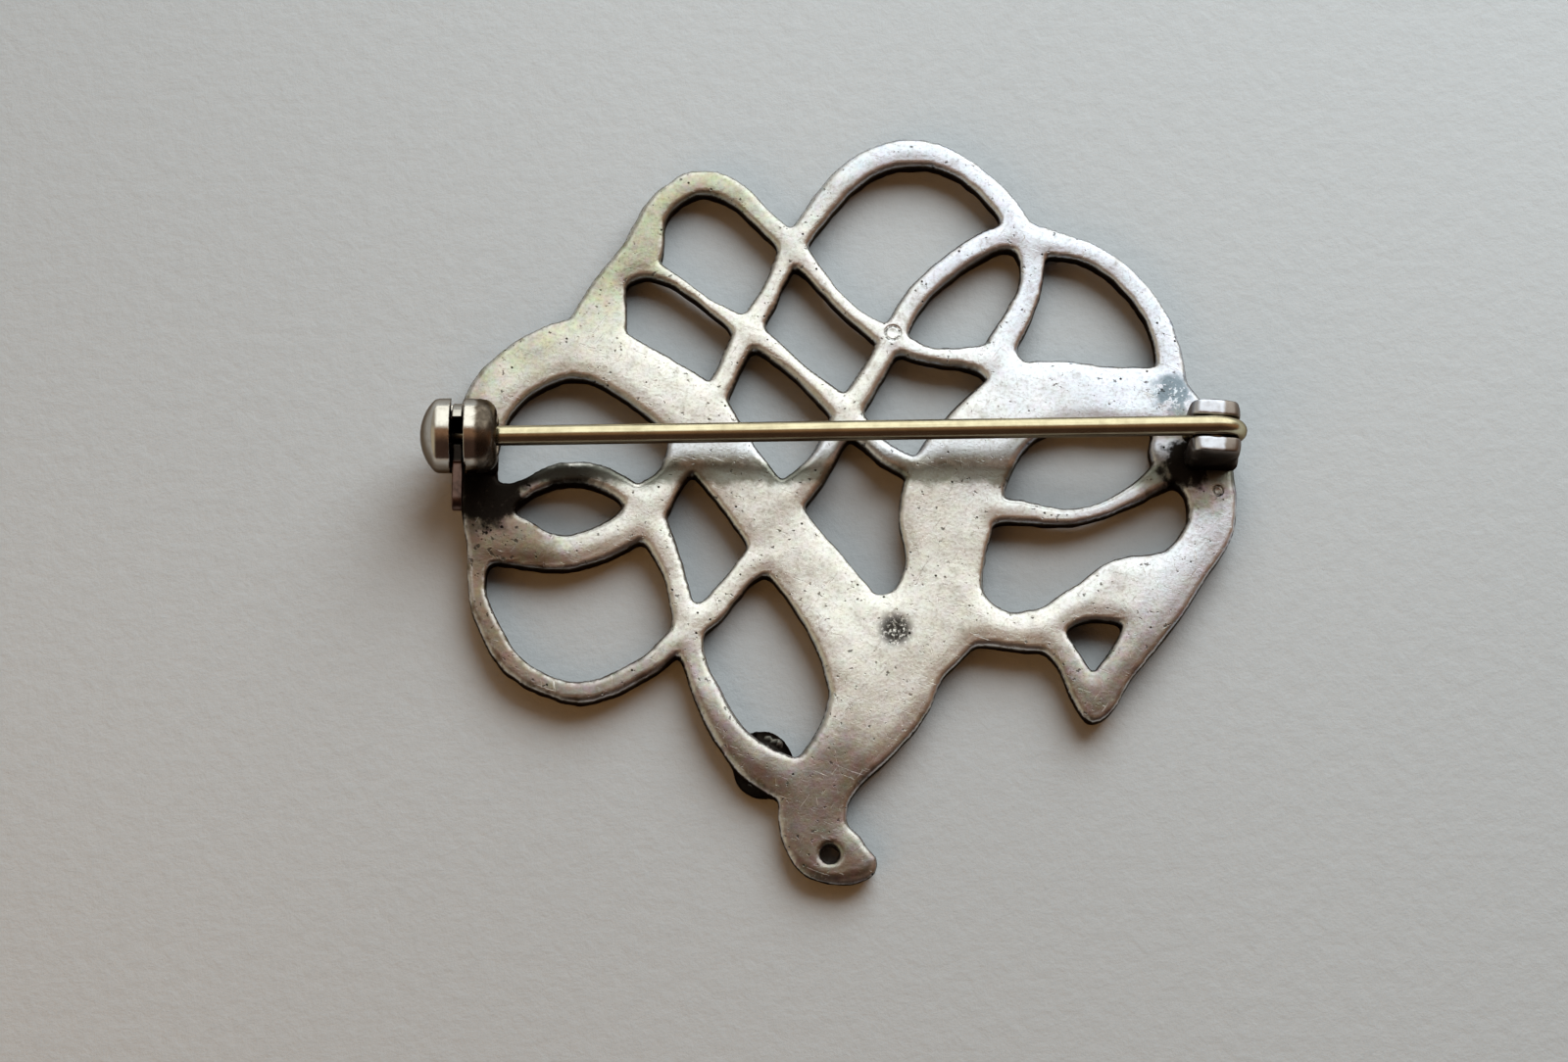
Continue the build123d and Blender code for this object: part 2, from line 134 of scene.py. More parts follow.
class Finish:
    """The shader of one finish, and the one way to add a node to it."""

    def __init__(self, holder):
        holder.use_nodes = True
        self.tree = holder.node_tree
        self.tree.nodes.clear()

    def node(self, kind, settings=None, inputs=None, output=0):
        made = self.tree.nodes.new("ShaderNode" + kind)
        for name, value in (settings or {}).items():
            setattr(made, name, value)
        for name, value in (inputs or {}).items():
            if isinstance(value, Value):
                self.tree.links.new(value.socket, made.inputs[name])
            else:
                made.inputs[name].default_value = value
        return Value(self, made.outputs[output] if made.outputs else None)

    def mixed(self, share, first, second, blend="MIX"):
        """The first colour where share is 0 and the second where it is 1."""
        settings = {"data_type": "RGBA", "blend_type": blend}
        return self.node("Mix", settings, {0: share, 6: first, 7: second}, 2)

    def layered(self, ground, *layers):
        """A ground colour with more colours over it. Each layer is its share and its colour."""
        for share, colour in layers:
            ground = self.mixed(share, ground, colour)
        return ground

    def millimetres(self):
        """The place on the piece, in millimetres."""
        place = self.node("TexCoord", output="Object")
        return self.node("VectorMath", {"operation": "SCALE"}, {0: place, "Scale": 1 / MM})

    def normal(self):
        """The three numbers of the direction that the skin faces."""
        return self.node("NewGeometry", output="Normal").parts()

    def speckle(self, place, scale, detail=2, roughness=0.5):
        """Soft noise about 0.5, with scale waves to a millimetre."""
        return self.node(
            "TexNoise", None,
            {"Vector": place, "Scale": scale, "Detail": detail, "Roughness": roughness},
        )

    def surface(self, **sockets):
        """The principled shader, joined to the output."""
        skin = self.node(
            "BsdfPrincipled", None, {name.replace("_", " "): v for name, v in sockets.items()}
        )
        self.node("OutputMaterial", None, {"Surface": skin})

    def bump(self, height):
        """The normal of a relief whose height is given in millimetres."""
        return self.node("Bump", None, {"Strength": 1, "Distance": MM, "Height": height})


camera = bpy.data.objects.new("camera", bpy.data.cameras.new("camera"))
camera.data.lens = CAMERA_LENS
camera.data.clip_start = MM * CLIP_START
towards_camera = Vector((0, -math.sin(CAMERA_TILT), math.cos(CAMERA_TILT)))
camera.location = MM * (LOOKED_AT + CAMERA_DISTANCE * towards_camera)
camera.rotation_euler = (CAMERA_TILT, 0, 0)
scene.collection.objects.link(camera)
scene.camera = camera
scene.view_settings.view_transform = "Standard"

room = bpy.data.worlds.new("room")
scene.world = room
sky = Finish(room)
across, away, _ = sky.node("TexCoord", output="Generated").parts()
window = across.between(*WINDOW_LEFT) * across.below(*WINDOW_RIGHT) * away.between(*WINDOW_SILL)
light = sky.layered(
    ROOM_LIGHT,
    ((-away).between(*NEAR_EDGE), NEAR_LIGHT),
    ((-across).between(*SIDE_EDGE), SIDE_LIGHT),
    (away.between(*WALL_FOOT), WALL_LIGHT),
    (window, WINDOW_LIGHT),
)
sky.node("OutputWorld", None, {"Surface": sky.node("Background", None, {"Color": light})})

for name, (spot, size, power, colour) in LAMPS.items():
    lamp = bpy.data.objects.new(name, bpy.data.lights.new(name, "AREA"))
    lamp.data.shape = "DISK"
    lamp.data.size = MM * size
    lamp.data.energy = power
    lamp.data.color = colour
    lamp.location = MM * spot
    lamp.rotation_euler = spot.to_track_quat("Z", "Y").to_euler()
    lamp.visible_glossy = False
    lamp.visible_camera = False
    scene.collection.objects.link(lamp)

half = MM * PAPER_SIZE / 2
corners = [(-half, -half, 0), (half, -half, 0), (half, half, 0), (-half, half, 0)]
sheet = bpy.data.meshes.new("paper")
sheet.from_pydata(corners, [], [(0, 1, 2, 3)])
paper = bpy.data.objects.new("paper", sheet)
scene.collection.objects.link(paper)
stock = bpy.data.materials.new("paper")
finish = Finish(stock)
place = finish.millimetres()
fibre = finish.speckle(place, 1.1, 6, 0.7)
cloud = finish.speckle(place, 0.02, 1)
tone = finish.mixed((cloud * 0.6 + fibre * 0.4).between(0.35, 0.65), PAPER, PAPER_SHADE)
finish.surface(Base_Color=tone, Roughness=0.9, Normal=finish.bump(fibre * FIBRE_RELIEF))
sheet.materials.append(stock)


# The plate is cast in silver in one piece: ribbons that cross and part again, with a head at the
# bottom and a foot at the right. Its edges are rubbed round, its back is a little wavy and falls
# towards the head, and its front is crowned.
PLATE_THICKNESS = 1.8
PLATE_GRAIN = 0.15
PLATE_ROUNDS = 2
# Points closer than this are joined, and points this close to a cut lie on it.
WELD = 0.0005
CUT_TOLERANCE = 0.0001
# The outline is taken from the CAD at one height, and how far in from it a point is at another.
OUTLINE_HEIGHT = 1.5
QUERY_HEIGHT = 1.3
# Up to the middle the skin is shaped with the front, and above it more and more with the back.
MIDDLE_HEIGHT = 0.9
BACK_HEIGHT = 1.74
# The Z of a normal: less than this on a wall's points and faces, and more on the level back.
WALL_POINT = 0.6
WALL_FACE = 0.5
LEVEL_POINT = 0.9
CORNER_ROUNDS = 14
CROWN_WIDTH = 1.7
CROWN_HEIGHT = 0.15
FRONT_ROUND = 0.15
RUB_WIDTH = 0.14
RUB_HEIGHT = 0.1
SWELL_WIDTH = 0.8
SWELL_HEIGHT = 0.1
SWELL_ROUNDS = 10
HEAD_ROOT = -4
HEAD_LENGTH = 15.3
HEAD_FALL = 0.5
# The small lobe that stands out beside the lower ribbon, below the outline's height.
LOBE_MIDDLE = (-3.54, -13.24)
LOBE_RADII = (1.4, 1.6)
LOBE_HALF_HEIGHT = 0.5
LOBE_CROWN = 0.35
LOBE_CLEARANCE = 0.08
LOBE_FADE = 0.4
EYE_PLACE = (-0.225, -17.826)
EYE_HOLE = 0.46
EYE_BORDER = 1.2
EYE_FADE = 0.6
OUTLINE_GROWTH = 0.05
NICKED_EDGE = (7.45, -2.4)
NICK_REACH = 1.2
# Waves of the skin: waves to a millimetre, height and seed.
SLOW_WAVE = (0.13, 0.2, 14)
QUICK_WAVE = (0.5, 0.03, 2)
EDGE_WAVE = (1.1, 0.06, 4)
NICK_WAVE = (2.6, 0.16, 5)
# Dents in the back: X, Y, radius and depth.
ROUND_MARK = (3.01, 8.86, 0.42, 0.07)
RING_PIT = (19.28, 0.55, 0.26, 0.08)
ROUGH_PATCH = (3.05, -6.6, 0.9, 0.03)


def solid(node):
    """A copy of a CAD node's mesh in millimetres, with its faces joined."""
    form = bmesh.new()
    form.from_mesh(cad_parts[node].data)
    form.transform(Matrix.Scale(1 / MM, 4))
    bmesh.ops.remove_doubles(form, verts=form.verts, dist=WELD)
    return form


def cut(node, height, above, end, side=0):
    """A closed copy of what a CAD node has above or below a height. Its open side is drawn on to
    the height called end. A side of -1 or 1 keeps only what has that sign of X."""
    form = solid(node)
    bmesh.ops.bisect_plane(
        form,
        geom=form.verts[:] + form.edges[:] + form.faces[:],
        dist=CUT_TOLERANCE,
        plane_co=(0, 0, height),
        plane_no=(0, 0, 1),
        clear_outer=not above,
        clear_inner=above,
    )
    bmesh.ops.delete(form, geom=[v for v in form.verts if v.co.x * side < 0])
    rim = [edge for edge in form.edges if edge.is_boundary]
    grown = bmesh.ops.extrude_edge_only(form, edges=rim)["geom"]
    for corner in grown:
        if isinstance(corner, bmesh.types.BMVert):
            corner.co.z = end
    rim = [edge for edge in grown if isinstance(edge, bmesh.types.BMEdge) and edge.is_boundary]
    bmesh.ops.triangle_fill(form, edges=rim, normal=(0, 0, -1 if above else 1))
    bmesh.ops.recalc_face_normals(form, faces=form.faces)
    return form


def even_skin(form, grain, rounds):
    """A closed form made again as an even skin of small faces, and smoothed."""
    mesh = bpy.data.meshes.new("skin")
    form.to_mesh(mesh)
    form.free()
    carrier = bpy.data.objects.new("skin", mesh)
    scene.collection.objects.link(carrier)
    even = carrier.modifiers.new("even", "REMESH")
    even.mode = "VOXEL"
    even.voxel_size = grain
    soft = carrier.modifiers.new("soft", "SMOOTH")
    soft.iterations = rounds
    skin = bpy.data.meshes.new_from_object(
        carrier.evaluated_get(bpy.context.evaluated_depsgraph_get())
    )
    bpy.data.objects.remove(carrier)
    bpy.data.meshes.remove(mesh)
    return skin


def rows(values, name):
    """Vectors of a mesh, one to a row."""
    numbers = np.empty(len(values) * 3)
    values.foreach_get(name, numbers)
    return numbers.reshape(-1, 3)


def points_of(mesh):
    return rows(mesh.vertices, "co")


def normals_of(mesh):
    return rows(mesh.vertex_normals, "vector")


def put_points(mesh, points):
    mesh.vertices.foreach_set("co", points.ravel())
    mesh.update()


def relax(mesh, points, moving, axes, rounds):
    """Draws the moving points half way to the mean of their moving neighbours, along the axes."""
    edges = np.empty(len(mesh.edges) * 2, dtype=np.int64)
    mesh.edges.foreach_get("vertices", edges)
    first, second = edges.reshape(-1, 2)[moving[edges.reshape(-1, 2)].all(axis=1)].T
    count = np.bincount(first, minlength=len(points)) + np.bincount(second, minlength=len(points))
    held = moving & (count > 1)
    for _ in range(rounds):
        for axis in axes:
            total = np.bincount(first, points[second, axis], len(points))
            total += np.bincount(second, points[first, axis], len(points))
            points[held, axis] += 0.5 * (total[held] / count[held] - points[held, axis])


def wave(points, pitch, height, seed):
    """Smooth noise from -height to height at each point, with pitch waves to a millimetre."""
    shift = Vector((seed, 2 * seed, 3 * seed))
    return height * np.array([noise.noise(Vector(point) * pitch + shift) for point in points])


def dome(distance, width, height):
    """How far a rounded edge has fallen at a distance from the edge."""
    out = 1 - np.clip(distance / width, 0, 1)
    return height * (1 - np.sqrt(1 - out * out))


def spans(points, middle, radius=1):
    """How far each point is from a middle, seen from above and counted in radii."""
    return np.hypot(*((points[:, :2] - middle) / radius).T)


def piece(name, mesh, body, replaced, material):
    """A finished mesh in millimetres as a piece of the brooch, in metres."""
    mesh.transform(Matrix.Scale(MM, 4))
    mesh.name = name
    mesh.polygons.foreach_set("use_smooth", np.ones(len(mesh.polygons), dtype=bool))
    mesh.materials.clear()
    mesh.materials.append(material)
    made = bpy.data.objects.new(name, mesh)
    scene.collection.objects.link(made)
    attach(made, body)
    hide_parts(replaced)


# The outline: its walls are smoothed, rippled and nicked, and the eye's hole is opened.
form = cut("openwork", OUTLINE_HEIGHT, above=False, end=PLATE_THICKNESS)
plate = even_skin(form, PLATE_GRAIN, PLATE_ROUNDS)
points = points_of(plate)
upright = np.abs(normals_of(plate)[:, 2]) < WALL_POINT
relax(plate, points, upright, (0, 1), CORNER_ROUNDS)
put_points(plate, points)
outward = normals_of(plate)[:, :2] * upright[:, None]
flat = points * (1, 1, 0)
nicked = np.clip(1 - spans(points, NICKED_EDGE, NICK_REACH), 0, 1)
ripple = OUTLINE_GROWTH + wave(flat, *EDGE_WAVE) + nicked * wave(flat, *NICK_WAVE)
points[:, :2] += outward * ripple[:, None]
from_eye = spans(points, EYE_PLACE)
spread = (EYE_HOLE - from_eye.min()) * np.clip((EYE_BORDER - from_eye) / EYE_FADE, 0, 1)
points[:, :2] += (points[:, :2] - EYE_PLACE) * (spread / from_eye)[:, None]
put_points(plate, points)

# How far each point is from the walls. A point clear outside them belongs to the lobe.
wall_faces = [face.vertices[:] for face in plate.polygons if abs(face.normal.z) < WALL_FACE]
walls = BVHTree.FromPolygons(points.tolist(), wall_faces)
inward = np.zeros(len(points))
on_lobe = np.zeros(len(points), dtype=bool)
for i, (x, y) in enumerate(points[:, :2]):
    here = Vector((x, y, QUERY_HEIGHT))
    nearest, outside, _, inward[i] = walls.find_nearest(here)
    on_lobe[i] = (here - nearest).dot(outside) > LOBE_CLEARANCE

# The heights: the crowned front, the back with its rubbed and swelling edges, and the lobe.
height = points[:, 2].copy()
from_lobe = spans(points, LOBE_MIDDLE, LOBE_RADII)
front = dome(inward, FRONT_ROUND, FRONT_ROUND)
front += CROWN_HEIGHT * (1 - np.clip(inward / CROWN_WIDTH, 0, 1))
front *= np.clip((from_lobe - 1) / LOBE_FADE, 0, 1)
swell = np.clip(inward / SWELL_WIDTH + np.clip(EYE_BORDER - from_eye, 0, 1), 0, 1)
back = PLATE_THICKNESS - dome(inward, RUB_WIDTH, RUB_HEIGHT)
back -= SWELL_HEIGHT * (1 - swell * swell * (3 - 2 * swell))
back -= HEAD_FALL * np.clip((HEAD_ROOT - points[:, 1]) / HEAD_LENGTH, 0, 1) ** 2
low = front + height / MIDDLE_HEIGHT * (MIDDLE_HEIGHT - front)
share = np.clip((height - MIDDLE_HEIGHT) / (BACK_HEIGHT - MIDDLE_HEIGHT), 0, 1)
high = MIDDLE_HEIGHT + share * (back - MIDDLE_HEIGHT)
lobe = height - LOBE_CROWN * np.clip(from_lobe, 0, 1) ** 2 * (height > LOBE_HALF_HEIGHT)
points[:, 2] = np.where(on_lobe, lobe, np.where(height < MIDDLE_HEIGHT, low, high))
relax(plate, points, (inward > RUB_WIDTH) & (points[:, 2] > QUERY_HEIGHT), (2,), SWELL_ROUNDS)
put_points(plate, points)

# The waves of the casting and the dents in the back.
for waves in (SLOW_WAVE, QUICK_WAVE):
    points += normals_of(plate) * wave(points, *waves)[:, None]
points[:, 2] = np.maximum(points[:, 2], 0)
put_points(plate, points)
level = (normals_of(plate)[:, 2] > LEVEL_POINT) & (points[:, 2] > QUERY_HEIGHT)
for x, y, radius, depth in (ROUND_MARK, RING_PIT, ROUGH_PATCH):
    points[level, 2] -= depth * np.clip(1 - spans(points[level], (x, y), radius) ** 2, 0, 1)
put_points(plate, points)
rim = plate.attributes.new("rim", "FLOAT", "POINT")
rim.data.foreach_set("value", inward.astype(np.float32))

CLEAN_SILVER = (0.79, 0.79, 0.765, 1)
POLISHED_SILVER = (0.88, 0.88, 0.88, 1)
YELLOW_SILVER = (0.44, 0.445, 0.325, 1)
# Painted shade: pinkish grey for the dim near side that the lower parts mirror.
PINK_SHADE_SILVER = (0.27, 0.235, 0.22, 1)
BLUE_SILVER = (0.74, 0.80, 0.95, 1)
# Brown for tarnish and stains, and also as painted shade where the metal mirrors the dim room.
BROWN_TARNISH_AND_SHADE = (0.20, 0.15, 0.105, 1)
PIN_REFLECTION_GREEN = (0.15, 0.165, 0.13, 1)
SOLDER = (0.20, 0.25, 0.30, 1)
# Black for tarnish, and also as painted shade in hollows, under things and round the fittings' feet.
TARNISH_AND_SHADE_BLACK = (0.016, 0.013, 0.011, 1)
EDGE_TINT = (0.45, 0.40, 0.36, 1)
BODY_X = 2
CATCH_BASE = (-17.5, 0.8, 0)
HINGE_BASE = (17.7, 1.9, 0)
PITTED_SPOT = (-17.2, -2.2, 0)
SOLDER_SPOT = (17.1, 5.7, 0)
HUE_SHARE = 0.35
# How far a scratch's noise is drawn out along it, and how soft the scratch's border is.
SCRATCH_SQUEEZE = 0.07
SCRATCH_BORDER = 0.06
# Two painted bands run along X: the pin's dark green reflection just below it, and a bluish sheen
# right under it.
PIN_REFLECTION_Y = 1.45
PIN_SHEEN_Y = 2.75

silver = bpy.data.materials.new("cast_silver")
finish = Finish(silver)
place = finish.millimetres()
across, away, up = place.parts()
plan = finish.node("CombineXYZ", None, {0: across, 1: away})
cloud = finish.speckle(place, 0.25, 3)
mottle = finish.speckle(place, 1.3, 4, 0.6)
grain = finish.speckle(place, 6, 4, 0.65)
rightward, backward, facing = finish.normal()
inside = finish.node("Attribute", {"attribute_name": "rim"}, output="Fac")
on_back = up.between(MIDDLE_HEIGHT, QUERY_HEIGHT)
off_eye = plan.distance((*EYE_PLACE, 0)).between(0.6, 1)


def scratches(angle, scale, share):
    """1 in thin straight streaks that run at an angle to X, and 0 between them."""
    turned = finish.node(
        "Mapping", None, {"Vector": place, "Rotation": (0, 0, math.radians(angle))}
    )
    drawn = finish.node("Mapping", None, {"Vector": turned, "Scale": (SCRATCH_SQUEEZE, 1, 1)})
    return finish.speckle(drawn, scale, 2, 0.7).between(share, share + SCRATCH_BORDER)


def band(middle, raggedness, near, far):
    """1 on the back in a ragged band along X, and 0 away from it."""
    return abs(away - middle + (mottle - 0.5) * raggedness).below(near, far) * on_back


def ring(x, y, radius):
    """1 round the rim of a dent in the back, and 0 elsewhere."""
    gap = plan.distance((x, y, 0)) * (1 / radius)
    return gap.between(0.6, 0.8) * gap.below(0.95, 1.2) * on_back


# The colour by place: darker and yellower at the upper left, and bluish white at the right. Painted
# shade: pinkish grey below and darker at the lower left, where the metal mirrors the dim near side of
# the room, and brown down the left side, where it mirrors the dim left. Real brown stains lie at the
# pitted spot and beside the joint. A faint play of hues lies over it.
yellow = (away * 1.5 - across * 0.85 + cloud * 10).between(24.5, 34)
pink_shade = (abs(across - BODY_X) * 0.6 - away + cloud * 8).between(15.5, 20.5)
blue = (across + away * 0.8 + cloud * 10).between(10, 24)
lower_left_shade = (cloud * 8 - across - away).between(17, 23) * (-away).below(12.5, 15)
left_shade_and_stains = (across + away.at_least(0) * 0.7 + mottle * 4).below(-15, -9)
left_shade_and_stains = left_shade_and_stains + (plan.distance(PITTED_SPOT) + mottle * 2).below(2.4, 4.4)
left_shade_and_stains = left_shade_and_stains + (plan.distance(HINGE_BASE) + mottle * 2).below(3, 4.6)
tone = finish.layered(
    CLEAN_SILVER,
    (yellow * 0.9, YELLOW_SILVER),
    (pink_shade * 0.8, PINK_SHADE_SILVER),
    (blue * 0.85, BLUE_SILVER),
    (lower_left_shade * 0.5, PINK_SHADE_SILVER),
    (left_shade_and_stains.between(0, 1.1) * 0.85, BROWN_TARNISH_AND_SHADE),
)
hues = finish.speckle(place, 1.7, 4, 0.7).beside("Color")
tone = finish.mixed(HUE_SHARE, tone, hues, "OVERLAY")

# The wear: edges rubbed bright, fine scratches, and brown tarnish on the walls and in the low places,
# painted lighter on the walls that face the window. Painted light: the pin's dark green reflection
# below it and a bluish sheen right under it.
edge = inside.below(0.1, 0.4) * mottle.between(0.35, 0.6) * off_eye
streaks = scratches(20, 9, 0.66) + scratches(-55, 7, 0.68) + scratches(80, 8, 0.68)
# Painted reflection of the pin and a painted sheen beside it.
pin_sheen = band(PIN_SHEEN_Y, 0.6, 0.2, 0.8)
pin_reflection = band(PIN_REFLECTION_Y, 0.9, 0.25, 0.75)
# Painted light: walls that face the window, towards +X and +Y, are painted lighter.
window_lit = (rightward * 0.5 + backward * 0.9).between(0.2, 0.7)
wall = (facing + window_lit * 0.35).below(0.2, 0.7) * facing.between(-0.95, -0.75)
wall = wall * inside.below(0.03, 0.1) * off_eye
low_places = mottle.between(0.5, 0.75) * 0.3 + grain.between(0.46, 0.7) * 0.3
tone = finish.layered(
    tone,
    (edge * 0.7, POLISHED_SILVER),
    (streaks * 0.5, POLISHED_SILVER),
    (pin_sheen * 0.6, BLUE_SILVER),
    (pin_reflection * 0.8, PIN_REFLECTION_GREEN),
    (wall, BROWN_TARNISH_AND_SHADE),
    (low_places, BROWN_TARNISH_AND_SHADE),
)

# Grey solder beside the joint, and black tarnish on the walls and in the pits. Painted shade in
# black: at the left end of the pin's painted reflection, on the low parts below the back, and round
# the feet of the catch and the joint, mixed there with soot from the soldering.
solder = (plan.distance(SOLDER_SPOT) + mottle * 1.6).below(1.3, 2.2) * on_back
flecks = (mottle * 0.6 + grain * 0.4).below(0.5, 0.54)
cells = finish.node("TexVoronoi", None, {"Vector": place, "Scale": 1.5})
pits = cells.below(0.05, 0.11) * cells.beside("Color").parts()[0].between(0.55, 0.6)
pitted = (plan.distance(PITTED_SPOT) + mottle).below(1, 3.2)
specks = (finish.speckle(place, 3.2, 2, 0.6) + pitted * 0.07).between(0.66, 0.72)
rough_patch = (plan.distance((*ROUGH_PATCH[:2], 0)) + grain * 0.8).below(0.8, 1.7) * on_back
rings = ring(*ROUND_MARK[:3]) + ring(*RING_PIT[:3])
# Soot from the soldering, with painted shade round the feet of the catch and the joint.
soot_and_shade = (plan.distance(CATCH_BASE) + mottle * 2.4).below(2.4, 4.2)
soot_and_shade = soot_and_shade + (plan.distance(HINGE_BASE) + mottle * 2.4).below(1.9, 3.1)
soot_and_shade = soot_and_shade.between(0, 1) * (1 - mottle.between(0.54, 0.7) * 0.3) * on_back
smudge = (-away).between(14, 16.5) * mottle.between(0.5, 0.68)
wall_foot = 1 - (up + mottle * 0.5).between(1.5, 2.0) * 0.5
# Painted shade on the low parts below the back, such as the lobe.
underside_shade = (1 - on_back) * facing.between(-0.35, -0.1) * off_eye
tarnish_and_shade = (
    pits * 0.85
    + specks * 0.6
    + rough_patch * grain.between(0.32, 0.52) * 0.85
    + pin_reflection * across.below(-13, -9) * 0.75
    + soot_and_shade
    + wall * wall_foot * (1.25 - grain * 0.8)
    + rings * grain.between(0.35, 0.6) * 0.7
    + smudge * 0.3
    + underside_shade
    + scratches(55, 6, 0.7) * 0.35
).between(0, 1)
tone = finish.layered(tone, (solder * flecks, SOLDER), (tarnish_and_shade, TARNISH_AND_SHADE_BLACK))

relief = mottle * (0.008 + solder * 0.05) + grain * 0.010
relief = relief - pits * 0.03 - specks * 0.012 - streaks * 0.006 - rings * 0.02
roughness = 0.2 + mottle * 0.1 + grain * 0.1 + tarnish_and_shade * 0.2
finish.surface(
    Base_Color=tone, Metallic=1, Roughness=roughness, Specular_Tint=EDGE_TINT,
    Normal=finish.bump(relief),
)
piece("plate", plate, "body", "openwork", silver)


# The safety catch is a short turned barrel of silver, parted by a slot for the lever, with a long
# mouth that lets the pin in from the side. Its foot is soldered to the plate's left edge.
CATCH_AXIS = (2.75, 4.1)
CATCH_FAR_END = -20.6
CAP_SPHERE = 2.5856
CAP_EDGE = -19.8
INNER_EDGE = -17.6
INNER_SPHERE = 0.887
BARREL_RADIUS = 1.87
# The skin is drawn on to the turned form where it lies this close to it, and the form's two edges
# are smoothed within a reach.
SNAP_REACH = 0.02
TURNED_REACH = 0.33
TURNED_ROUNDS = 30
# The least that a length or a square is divided by.
LEAST = 0.01
# A fitting is cut from the CAD just above the plate's back, and drawn down to end inside it.
FITTING_CUT = 1.801
FITTING_BOTTOM = 1.58
FITTING_GRAIN = 0.055
CATCH_ROUNDS = 3
# The solder flares a fitting's foot: how far up it reaches, and how far out.
FLARE_HEIGHT = 0.55
CATCH_FLARE = 0.3
# The catch's foot begins to flare at this X, and flares in full this much further on.
CATCH_FLARE_FROM = -19.6
CATCH_FLARE_FADE = 0.8


def flare(mesh, points, reach):
    """Spreads the foot of a fitting, as the solder does where it meets the plate."""
    share = np.clip(1 - (points[:, 2] - PLATE_THICKNESS) / FLARE_HEIGHT, 0, 1)
    points[:, :2] += normals_of(mesh)[:, :2] * (reach * share**2)[:, None]


def arc(radius, along):
    """How high a circle stands at a distance along from its middle."""
    return np.sqrt(np.maximum(radius**2 - along**2, 0))


form = cut("openwork", FITTING_CUT, above=True, end=FITTING_BOTTOM, side=-1)
catch = even_skin(form, FITTING_GRAIN, CATCH_ROUNDS)
points = points_of(catch)
right_of_end = np.clip((points[:, 0] - CATCH_FLARE_FROM) / CATCH_FLARE_FADE, 0, 1)
flare(catch, points, CATCH_FLARE * right_of_end)
along = points[:, 0]
radius = np.hypot(*(points[:, 1:] - CATCH_AXIS).T)
cap = arc(CAP_SPHERE, along - CATCH_FAR_END - CAP_SPHERE)
inner = BARREL_RADIUS - INNER_SPHERE + arc(INNER_SPHERE, along - INNER_EDGE)
turned = np.where(along < CAP_EDGE, cap, np.where(along > INNER_EDGE, inner, BARREL_RADIUS))
gap = turned - radius
snapped = np.clip(2 - np.abs(gap) / SNAP_REACH, 0, 1)
scale = 1 + snapped * gap / np.maximum(radius, LEAST)
points[:, 1:] = CATCH_AXIS + (points[:, 1:] - CATCH_AXIS) * scale[:, None]
for edge in (CAP_EDGE, INNER_EDGE):
    relax(catch, points, np.abs(points[:, 0] - edge) < TURNED_REACH, (0, 1, 2), TURNED_ROUNDS)
put_points(catch, points)

FITTING_SILVER = (0.66, 0.63, 0.58, 1)
# Where the joint's marks begin and are full: painted brown shade at its right, and brown and black
# tarnish at its near end.
RIGHT_SHADE = (19.35, 19.65)
NEAR_BROWN = (1.8, 2.0)
NEAR_BLACK = (1.7, 2.1)


def from_catch_axis(place):
    """How far the place on a piece is from the catch's axis, in millimetres."""
    _, away, up = place.parts()
    return place.finish.node("CombineXYZ", None, {1: away, 2: up}).distance((0, *CATCH_AXIS))


# Painted shade: black in the bore within the slot and round the low parts of the feet, mixed there
# with tarnish, and brown on the joint's right and on what faces sideways. Black tarnish on the
# joint's near end, and brown on the catch's shoulder and cap. The joint is bluer and rougher.
fitting = bpy.data.materials.new("turned_silver")
finish = Finish(fitting)
place = finish.millimetres()
across, away, up = place.parts()
mottle = finish.speckle(place, 1.8, 4, 0.6)
grain = finish.speckle(place, 9, 3, 0.6)
facing = finish.normal()[2]
on_joint = across.between(0, 1)
# Painted shade on the low parts of the fittings, with tarnish where they are soldered.
foot_shade_and_tarnish = (up + mottle * 0.8).below(2.2, 3.4) * (1 - on_joint * 0.4)
in_slot = across.between(CAP_EDGE - 0.1, CAP_EDGE) * across.below(INNER_EDGE - 0.2, INNER_EDGE - 0.1)
# Painted shade: black inside the bore.
bore_shade = from_catch_axis(place).below(1.5, 1.7) * in_slot
shoulder = (across + mottle * 0.4).between(INNER_EDGE - 0.15, INNER_EDGE + 0.25) * (1 - on_joint)
cap_end = (across - mottle * 0.3).below(CAP_EDGE - 0.3, CAP_EDGE)
right_shade = (across + mottle * 0.3).between(*RIGHT_SHADE)
near_end = away + mottle * 0.2
near_brown = near_end.below(*NEAR_BROWN) * on_joint
near_black = near_end.below(*NEAR_BLACK) * on_joint
# Brown: stains on the shoulder, the cap and the joint's near end, and painted shade on the joint's
# right and on what faces sideways.
stain_and_shade = shoulder + cap_end * 0.2 + right_shade + near_brown + facing.below(0.3, 0.65) * 0.8
tarnish_and_shade = (foot_shade_and_tarnish + bore_shade + shoulder * mottle + near_black * 0.8).between(0, 1)
tone = finish.layered(
    FITTING_SILVER,
    (on_joint * 0.8, BLUE_SILVER),
    (mottle.between(0.45, 0.75) * 0.35, BROWN_TARNISH_AND_SHADE),
    (stain_and_shade.between(0, 1) * 0.85, BROWN_TARNISH_AND_SHADE),
    (tarnish_and_shade, TARNISH_AND_SHADE_BLACK),
)
roughness = 0.1 + mottle * 0.08 + tarnish_and_shade * 0.3 + on_joint * 0.15
relief = finish.bump(grain * 0.003)
finish.surface(
    Base_Color=tone, Metallic=1, Roughness=roughness, Specular_Tint=EDGE_TINT, Normal=relief
)
piece("catch_barrel", catch, "body", "openwork", fitting)


